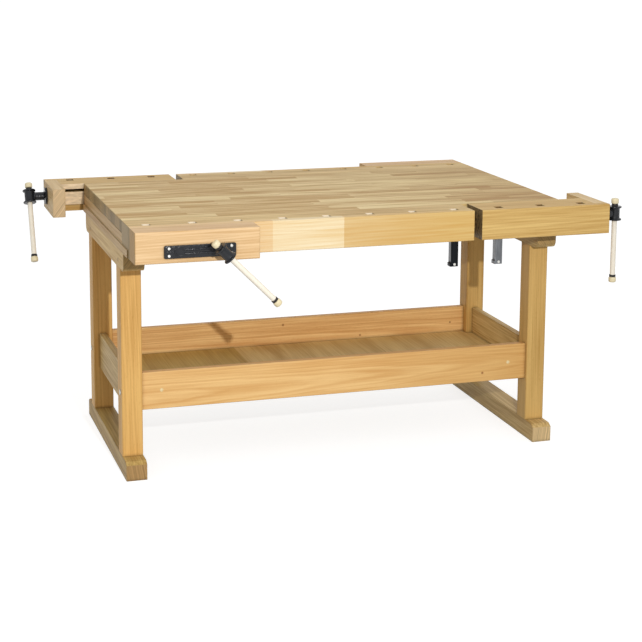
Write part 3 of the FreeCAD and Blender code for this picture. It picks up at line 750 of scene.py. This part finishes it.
def add_bar(shape, start, end, height, radius):
    """A round-ended bar along X, half sunk in the plate's face."""
    length = end - start
    bar = turn_on_lathe(shape, [(0, 0), (radius, 0), (radius, length), (0, length)],
                        radius * end_share)
    place = Matrix.Translation((start, -plate_thickness, height)) @ along_screw
    bmesh.ops.transform(shape, matrix=place, verts=bar)


for side, turn in (("front", 0), ("rear", math.pi)):
    seat = Matrix.Translation(seats[f"{side}_face_vise"].translation)
    seat = seat @ Matrix.Rotation(turn, 4, "Z")
    low, high = box_of(f"{side}_face_vise_plate", seat)
    guide_low, guide_high = box_of(f"{side}_face_vise_guide_bar", seat)
    boss_x = (guide_low.x + guide_high.x) / 2
    plate = bmesh.new()
    middle = ((low.x + high.x) / 2, -plate_thickness / 2, (low.z + high.z) / 2)
    bmesh.ops.create_cube(plate, size=1, matrix=Matrix.Translation(middle) @ Matrix.Diagonal(
        (high.x - low.x, plate_thickness, high.z - low.z, 1)))
    corners = [e for e in plate.edges
               if abs(e.verts[0].co.y - e.verts[1].co.y) > plate_thickness / 2]
    bmesh.ops.bevel(plate, geom=corners, offset=plate_corner, offset_type="OFFSET", segments=6,
                    profile=0.5, affect="EDGES", material=-1)
    front = [e for e in plate.edges if all(v.co.y < -plate_thickness / 2 for v in e.verts)]
    bmesh.ops.bevel(plate, geom=front, offset=plate_softness, offset_type="OFFSET", segments=3,
                    profile=0.5, affect="EDGES", material=-1)
    dish = boss_height - boss_dish
    rim = boss_radius - boss_rim
    boss = turn_on_lathe(plate, [(0, dish), (rim - boss_rim, dish), (rim, dish),
                                 (rim, boss_height), (boss_radius, boss_height),
                                 (boss_radius, -sunk)], boss_dish / 2)
    on_face = Matrix.Translation((boss_x, -plate_thickness, 0))
    bmesh.ops.transform(plate, matrix=on_face @ outwards, verts=boss)
    collar = turn_on_lathe(plate, [(stem_radius, flange_face - sunk), (stem_radius, flange_face),
                                   (collar_radius, flange_face), (collar_radius, -sunk)],
                           plate_softness)
    bmesh.ops.transform(plate, matrix=outwards, verts=collar)
    for height in (-rib_from_middle, rib_from_middle):
        add_bar(plate, boss_x + boss_radius - 2 * sunk, -collar_radius + 2 * sunk, height,
                rib_radius)
    add_bar(plate, low.x + bead_inset, boss_x - boss_radius + 2 * sunk, 0, bead_radius)
    add_bar(plate, collar_radius - 2 * sunk, high.x - bead_inset, 0, bead_radius)
    finish_piece(f"{side}_face_vise_casting", plate, seat, cast_enamel, f"{side}_face_jaw",
                 f"{side}_face_vise_plate")
    print(side, "plate", round((high.x - low.x) / mm), "x", round((high.z - low.z) / mm), "mm")

# %% [markdown]
# ## Screws
# A vise screw has a trapezoidal thread. It is made as a plain core with a ridge wound round it: the
# ridge's section is spun through one turn while it climbs by one pitch, and that turn is repeated
# along the screw. Spinning all the turns at once would give the same shape, but far more slowly.

# %% Threaded spindles
spindle_radius = 12 * mm
thread_depth = 3 * mm
thread_foot = 0.5 * mm
foot_share = 0.3
crest_share = 0.13
turn_steps = 24
plain_end = 12 * mm
tip_chamfer = 2 * mm


def close_ends(shape):
    """Fills the open ends of a spun bar."""
    open_edges = [edge for edge in shape.edges if edge.is_boundary]
    bmesh.ops.holes_fill(shape, edges=open_edges)


def wind_thread(shape, core, start, turns):
    """Winds a trapezoidal ridge round a core, up from start."""
    before = set(shape.verts)
    foot, crest = core - thread_foot, core + thread_depth
    section = [(foot, foot_share), (core, foot_share), (crest, crest_share),
               (crest, -crest_share), (core, -foot_share), (foot, -foot_share)]
    ring = [shape.verts.new((r, 0, start + share * thread_pitch)) for r, share in section]
    edges = [shape.edges.new(pair) for pair in zip(ring, ring[1:] + ring[:1])]
    bmesh.ops.spin(shape, geom=edges, cent=(0, 0, 0), axis=(0, 0, 1), angle=math.tau,
                   steps=turn_steps, dvec=(0, 0, thread_pitch / turn_steps))
    first = [v for v in shape.verts if v not in before]
    faces = list({face for v in first for face in v.link_faces})
    for turn in range(1, turns):
        copy = bmesh.ops.duplicate(shape, geom=faces)
        moved = [v for v in copy["geom"] if isinstance(v, bmesh.types.BMVert)]
        bmesh.ops.translate(shape, vec=(0, 0, turn * thread_pitch), verts=moved)
    ridge = [v for v in shape.verts if v not in before]
    bmesh.ops.remove_doubles(shape, verts=ridge, dist=merge_distance)
    close_ends(shape)


core = spindle_radius - thread_depth
for vise, body in vises.items():
    back = -box_of(f"{vise}_screw", seats[vise])[0].x
    screw = bmesh.new()
    turn_on_lathe(screw, [(0, -back), (core - tip_chamfer, -back), (core, -back + tip_chamfer),
                          (core, flange_face + stem_gap), (0, flange_face + stem_gap)])
    turns = math.floor((back - 2 * plain_end) / thread_pitch)
    wind_thread(screw, core, plain_end - back, turns)
    bmesh.ops.transform(screw, matrix=along_screw, verts=screw.verts)
    finish_piece(f"{vise}_spindle", screw, seats[vise], turned_steel, f"{body}_screw",
                 f"{vise}_screw")
    print(vise, round(back / mm), "mm of screw,", turns, "turns")

# %% [markdown]
# ## Knobs and buffer rings
# A knob and a rubber ring stop the handle at each end. The knob is a short cylinder with a rounded
# crown. The ring has eased edges and is a little slimmer, so that a dark line shows under the knob.
# Each is made pointing up and turned over for the lower end.

# %% Knobs and rings
knob_length = 19 * mm
crown_rounding = 5 * mm
ring_length = 8 * mm
ring_radius = 11 * mm
ring_rounding = 1 * mm
tight_fit = 0.2 * mm
over = Matrix.Rotation(math.pi, 4, "X")
knob_radius = knob_diameter / 2
knob_outline = [(0, 0), (knob_radius, 0), (knob_radius, -knob_length), (0, -knob_length)]
bar_hold = bar_diameter / 2 - tight_fit
ring_foot = -knob_length - ring_length
ring_outline = [(bar_hold, -knob_length), (ring_radius, -knob_length), (ring_radius, ring_foot),
                (bar_hold, ring_foot)]
end_places = {"upper": Matrix.Translation((hub_reach, 0, ends_high.z)),
              "lower": Matrix.Translation((hub_reach, 0, ends_low.z)) @ over}
for vise, body in vises.items():
    for end, place in end_places.items():
        for kind, outline, rounding, material in (
                ("knob", knob_outline, crown_rounding, cream_plastic),
                ("ring", ring_outline, ring_rounding, black_rubber)):
            shape = bmesh.new()
            turn_on_lathe(shape, outline, rounding)
            finish_piece(f"{vise}_{end}_{kind}", shape, seats[vise] @ place, material,
                         f"{body}_handle", f"{vise}_handle_ends")

# %% [markdown]
# ## Slotted heads
# Screws, bolts and barrel nuts all show a round head with a slot. The head is turned on the lathe,
# and the slot is cut by two planes: the strip of faces between them is pushed in. Without the slot
# the same head is a rivet.

# %% Slotted heads
slot_share = 0.14
slot_depth_share = 0.45
upwards = 0.3


def make_head(diameter, height, crown):
    """A round head standing on Z = 0. crown is the rounding of its edge."""
    head = bmesh.new()
    turn_on_lathe(head, [(0, 0), (diameter / 2, 0), (diameter / 2, height), (0, height)], crown)
    bmesh.ops.remove_doubles(head, verts=head.verts, dist=merge_distance)
    return head


def push_faces(shape, faces, way):
    """Extrudes faces, moves the new ones and takes the old ones away."""
    pushed = bmesh.ops.extrude_face_region(shape, geom=faces)
    moved = [v for v in pushed["geom"] if isinstance(v, bmesh.types.BMVert)]
    bmesh.ops.translate(shape, vec=way, verts=moved)
    bmesh.ops.delete(shape, geom=faces, context="FACES")


def make_slotted_head(diameter, height, crown):
    """A round head with a slot across it."""
    head = make_head(diameter, height, crown)
    half_slot = diameter * slot_share / 2
    for side in (-1, 1):
        bmesh.ops.bisect_plane(head, geom=head.verts[:] + head.edges[:] + head.faces[:],
                               plane_co=(0, side * half_slot, 0), plane_no=(0, 1, 0))
    bmesh.ops.recalc_face_normals(head, faces=head.faces)
    strip = [face for face in head.faces if face.normal.z > upwards
             and abs(face.calc_center_median().y) < half_slot]
    push_faces(head, strip, (0, 0, -slot_depth_share * height))
    return head


def facing(point, way, turn):
    """The matrix that stands a head on a point, looking along way, with its slot turned."""
    look = Vector(way).to_track_quat("Z", "Y").to_matrix().to_4x4()
    return Matrix.Translation(point) @ look @ Matrix.Rotation(turn, 4, "Z")


# %% [markdown]
# ## Bench dogs
# A steel bench dog is a square bar with a short foot that stops it from being pulled out of its
# hole, and a leaf spring that grips the hole's wall. The bar and foot are one block: a cube is
# scaled, cut at the foot's top, and the foot's side is drawn out. All edges are then bevelled, and
# a groove for the leaf is pressed into the side. The leaf is a shallow arc: its section is spun
# through a small angle, so that only its middle stands proud of the bar. A rivet through the foot
# shows on both faces beside it.

# %% Bench dogs
dog_foot_height = 12 * mm
dog_edge = 1.4 * mm
leaf_width = 14 * mm
leaf_length = 90 * mm
leaf_rise = 0.8 * mm
leaf_proud = 0.2 * mm
leaf_thickness = 1.2 * mm
leaf_start = dog_foot_height + 4 * mm
groove_depth = 1.8 * mm
groove_play = 1 * mm
rivet_size = (9 * mm, 0.8 * mm, 0.5 * mm)
leaf_steps = 12
along_x = 0.99
sharp_angle = 0.5


def faces_at(dog, side):
    """The faces at X = side that look along X."""
    return [face for face in dog.faces if face.normal.x > along_x
            and abs(face.calc_center_median().x - side) < merge_distance]


def press_groove(dog, side):
    """Sinks the leaf's groove into the face at X = side."""
    half_width = leaf_width / 2 + groove_play
    ends = (leaf_start - groove_play, leaf_start + leaf_length + groove_play)
    cuts = [((0, way * half_width, 0), (0, 1, 0)) for way in (-1, 1)]
    cuts += [((0, 0, end), (0, 0, 1)) for end in ends]
    for point, normal in cuts:
        faces = faces_at(dog, side)
        around = {part for face in faces for part in (*face.verts, *face.edges)}
        bmesh.ops.bisect_plane(dog, geom=faces + list(around), plane_co=point, plane_no=normal)
    groove = [face for face in faces_at(dog, side)
              if abs(face.calc_center_median().y) < half_width
              and ends[0] < face.calc_center_median().z < ends[1]]
    push_faces(dog, groove, (-groove_depth, 0, 0))


def make_dog_bar(width, height, lip):
    """Square bar standing on Z = 0 with its foot towards +X."""
    dog = bmesh.new()
    bmesh.ops.create_cube(dog, size=1, matrix=Matrix.Translation((0, 0, height / 2))
                          @ Matrix.Diagonal((width, width, height, 1)))
    bmesh.ops.bisect_plane(dog, geom=dog.verts[:] + dog.edges[:] + dog.faces[:],
                           plane_co=(0, 0, dog_foot_height), plane_no=(0, 0, 1))
    foot = [face for face in faces_at(dog, width / 2)
            if face.calc_center_median().z < dog_foot_height]
    push_faces(dog, foot, (lip, 0, 0))
    sharp = [edge for edge in dog.edges if edge.calc_face_angle(0) > sharp_angle]
    bmesh.ops.bevel(dog, geom=sharp, offset=dog_edge, offset_type="OFFSET", segments=3,
                    profile=0.5, affect="EDGES", material=-1)
    press_groove(dog, width / 2)
    return dog


def make_leaf(side):
    """Bowed leaf spring in the groove of the face at X = side."""
    radius = leaf_length ** 2 / (8 * leaf_rise) + leaf_rise / 2
    angle = 2 * math.asin(leaf_length / (2 * radius))
    centre = Vector((side + leaf_proud - radius, 0, leaf_start + leaf_length / 2))
    leaf = bmesh.new()
    inner, half_width = radius - leaf_thickness, leaf_width / 2
    section = ((radius, -half_width), (radius, half_width), (inner, half_width),
               (inner, -half_width))
    ring = [leaf.verts.new(centre + Vector((out, across, 0))) for out, across in section]
    edges = [leaf.edges.new(pair) for pair in zip(ring, ring[1:] + ring[:1])]
    bmesh.ops.rotate(leaf, cent=centre, matrix=Matrix.Rotation(angle / 2, 3, "Y"), verts=ring)
    bmesh.ops.spin(leaf, geom=edges, cent=centre, axis=(0, 1, 0), angle=-angle,
                   steps=leaf_steps)
    close_ends(leaf)
    return leaf


for side, way in (("front", -1), ("rear", 1)):
    # The tail dogs wear the paler copy of the blued steel, a painted reflection.
    for kind, steel in (("apron_dog", blued_steel), ("tail_dog", dog_steel_painted_reflection)):
        dog = f"{side}_{kind}"
        low, high = box_of(dog)
        width = high.y - low.y
        lip = high.x - low.x - width
        middle = (high.x - width / 2) if way < 0 else (low.x + width / 2)
        place = Matrix.Translation((middle, (low.y + high.y) / 2, low.z))
        if way < 0:
            place = place @ Matrix.Rotation(math.pi, 4, "Z")
        finish_piece(f"{dog}_bar", make_dog_bar(width, high.z - low.z, lip), place, steel, dog,
                     dog)
        finish_piece(f"{dog}_leaf", make_leaf(width / 2), place, turned_steel, dog,
                     dog)
        for face, out in (("near", -1), ("far", 1)):
            spot = (0, out * width / 2, dog_foot_height / 2 + dog_edge)
            finish_piece(f"{dog}_{face}_rivet", make_head(*rivet_size),
                         place @ facing(spot, (0, out, 0), 0), zinc_plate, dog,
                         dog)

# %% [markdown]
# ## Screws in the castings
# Two pairs of screws hold each face vise's plate at its ends, and four hold each tail vise's
# flange. Nobody lines up the slots, so each head has another turn.

# %% Screws in the castings
plate_head = (9 * mm, 2 * mm, 0.7 * mm)
plate_screw_in = 15 * mm
plate_screw_apart = 23 * mm
flange_head = (7 * mm, 1.6 * mm, 0.5 * mm)
flange_screw_circle = 22.5 * mm
slot_turns = [0.4, 1.9, 1.1, 2.7]
for side, out in (("front", -1), ("rear", 1)):
    low, high = box_of(f"{side}_face_vise_plate")
    jaw_low, jaw_high = box_of(f"{side}_face_vise_jaw")
    face_y = (jaw_low if out < 0 else jaw_high).y + out * plate_thickness
    middle_z = (low.z + high.z) / 2
    spots = [(x, face_y, middle_z + up * plate_screw_apart / 2)
             for x in (low.x + plate_screw_in, high.x - plate_screw_in) for up in (-1, 1)]
    for i, spot in enumerate(spots):
        finish_piece(f"{side}_plate_screw_{i + 1}", make_slotted_head(*plate_head),
                     facing(spot, (0, out, 0), slot_turns[i]), zinc_plate, f"{side}_face_jaw")
    for i, turn in enumerate(slot_turns):
        angle = math.radians(45 + 90 * i)
        spot = Vector((flange_face, flange_screw_circle * math.cos(angle),
                       flange_screw_circle * math.sin(angle)))
        finish_piece(f"{side}_flange_screw_{i + 1}", make_slotted_head(*flange_head),
                     seats[f"{side}_tail_vise"] @ facing(spot, (1, 0, 0), turn), zinc_plate,
                     f"{side}_tail_jaw")

# %% [markdown]
# ## Knock-down bolts
# The long rails are pulled against the legs by bolts with barrel nuts, so that the bench can be
# taken apart. A domed head shows on the outside of each leg, and the end of a barrel nut shows on
# the rail's face, set in flush.

# %% Bolts and barrel nuts
bolt_head = (18 * mm, 3 * mm, 1.4 * mm)
bolt_turn = 0.8
nut_head = (12 * mm, 0.4 * mm, 0.15 * mm)
nut_turn = 0.3
nut_from_end = 88 * mm
for side, out in (("front", -1), ("rear", 1)):
    low, high = box_of(f"{side}_tray_rail")
    middle = (low + high) / 2
    for end, way in (("left", -1), ("right", 1)):
        leg_low, leg_high = box_of(f"{end}_{side}_leg")
        spot = ((leg_low if way < 0 else leg_high).x, middle.y, middle.z)
        finish_piece(f"{end}_{side}_rail_bolt", make_slotted_head(*bolt_head),
                     facing(spot, (way, 0, 0), bolt_turn), zinc_plate, "bench")
        nut_x = (low.x + nut_from_end) if way < 0 else (high.x - nut_from_end)
        spot = (nut_x, (low if out < 0 else high).y, middle.z)
        finish_piece(f"{end}_{side}_barrel_nut", make_slotted_head(*nut_head),
                     facing(spot, (0, out, 0), nut_turn + way), yellow_zinc, "bench")

# %% [markdown]
# ## Pegs in the bearers
# A wooden peg through each bearer locks the leg's tenon. Its end is planed almost flush with the
# outer face, and shows as a round spot of end grain.

# %% Pegs
peg_size = (12 * mm, 0.3 * mm, 0.1 * mm)
peg_up = 24 * mm
peg_wood = make_beech("beech_pegs", "x", "#e0c08a", "#b08a55", "#c9a878")
for end, way in (("left", -1), ("right", 1)):
    low, high = box_of(f"{end}_bearer")
    for side in ("front", "rear"):
        leg_low, leg_high = box_of(f"{end}_{side}_leg")
        spot = ((low if way < 0 else high).x, (leg_low.y + leg_high.y) / 2, low.z + peg_up)
        finish_piece(f"{end}_{side}_peg", make_head(*peg_size), facing(spot, (way, 0, 0), 0),
                     peg_wood, "bench")

# %% [markdown]
# ## Floor and background
# A studio floor is a white sweep. To the camera it is a matt pale surface that also glows a little,
# so that it stays near white and still keeps a soft shadow. To other light it is a plain matt
# floor, so that it doesn't light the bench more than a real one would. The world is white where the
# camera sees it and where a shiny surface mirrors it, and dimmer as a fill light.

# %% Floor and world
floor_size = 60
floor_glow = 0.76
fill_strength = 0.62


def add_seen(tree):
    """1 for the rays that see the background, straight, in a reflection or through glass."""
    rays = add_node(tree, "LightPath").outputs
    seen = rays["Is Camera Ray"]
    for ray in ("Is Glossy Ray", "Is Transmission Ray"):
        seen = add_node(tree, "Math", {0: seen, 1: rays[ray]}, operation="MAXIMUM")
    return seen


floor_shape = bmesh.new()
bmesh.ops.create_grid(floor_shape, x_segments=1, y_segments=1, size=floor_size)
floor_mesh = bpy.data.meshes.new("floor")
floor_shape.to_mesh(floor_mesh)
floor_shape.free()
floor = add_object("floor", floor_mesh)
floor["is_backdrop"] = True

floor_paint = bpy.data.materials.new("white_floor")
tree = empty_tree(floor_paint)
matt = add_node(tree, "BsdfDiffuse", {"Color": linear("#a6a6a6")})
pale = add_node(tree, "BsdfDiffuse", {"Color": linear("#b8b8b8")})
glow = add_node(tree, "Emission", {"Strength": floor_glow})
both = add_node(tree, "AddShader", {0: pale, 1: glow})
mixed = add_node(tree, "MixShader", {0: add_seen(tree), 1: matt, 2: both})
add_node(tree, "OutputMaterial", {"Surface": mixed})
floor_mesh.materials.append(floor_paint)

world = bpy.data.worlds.new("studio")
bpy.context.scene.world = world
tree = empty_tree(world)
strength = add_node(tree, "MapRange", {
    "Value": add_seen(tree), "To Min": fill_strength, "To Max": 1.0})
light = add_node(tree, "Background", {"Color": (1, 1, 1, 1), "Strength": strength})
add_node(tree, "OutputWorld", {"Surface": light})

# %% [markdown]
# ## The lamp
# One small lamp stands four metres in front of the bench's left half, a little above eye height. It
# lights the fronts fully, the top at a slant and the left ends hardly at all. It throws the shadows
# of a handle and of a dog on what stands behind them, and the white surroundings soften those.

# %% Lamp
lamp_place = Vector((-0.59, -4.0, 1.9))
lamp_aim = Vector((-0.3, 0, 0.6))

lamp_data = bpy.data.lights.new("key", "AREA")
lamp_data.shape = "DISK"
lamp_data.size = 60 * mm
lamp_data.energy = 83
lamp = add_object("key", lamp_data)
lamp.location = lamp_place
lamp.rotation_euler = (lamp_aim - lamp_place).to_track_quat("-Z", "Y").to_euler()

# %% [markdown]
# ## Camera
# The camera stands in front of the bench's left end, at about eye height, and looks down a little.

# %% Camera
camera_place = (-1.62989, -5.28247, 1.78423)
camera_yaw = 0.30273
camera_pitch = 0.16681
camera_roll = 0.00652
focal_pixels = 1596.71
frame_pixels = 642
shift_pixels = -128

camera_data = bpy.data.cameras.new("camera")
camera_data.sensor_width = 36
camera_data.lens = focal_pixels * camera_data.sensor_width / frame_pixels
camera_data.shift_y = shift_pixels / frame_pixels
camera = add_object("camera", camera_data)
camera.location = camera_place
look = Euler((math.radians(90) - camera_pitch, 0, -camera_yaw), "XYZ").to_matrix()
camera.rotation_euler = (look @ Matrix.Rotation(camera_roll, 3, "Z")).to_euler()
bpy.context.scene.camera = camera
bpy.context.scene.view_settings.view_transform = "Standard"

# %% [markdown]
# ## Measure and finish
# The sizes of the construction model's box and of the finished bench's box are printed. The
# finished bench must stay inside the construction model's box.

# %% Measure and finish
visual_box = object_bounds()
for name, box in (("construction", cad_box), ("visual", visual_box)):
    print(name, [round(high - low, 4) for low, high in zip(*box)])
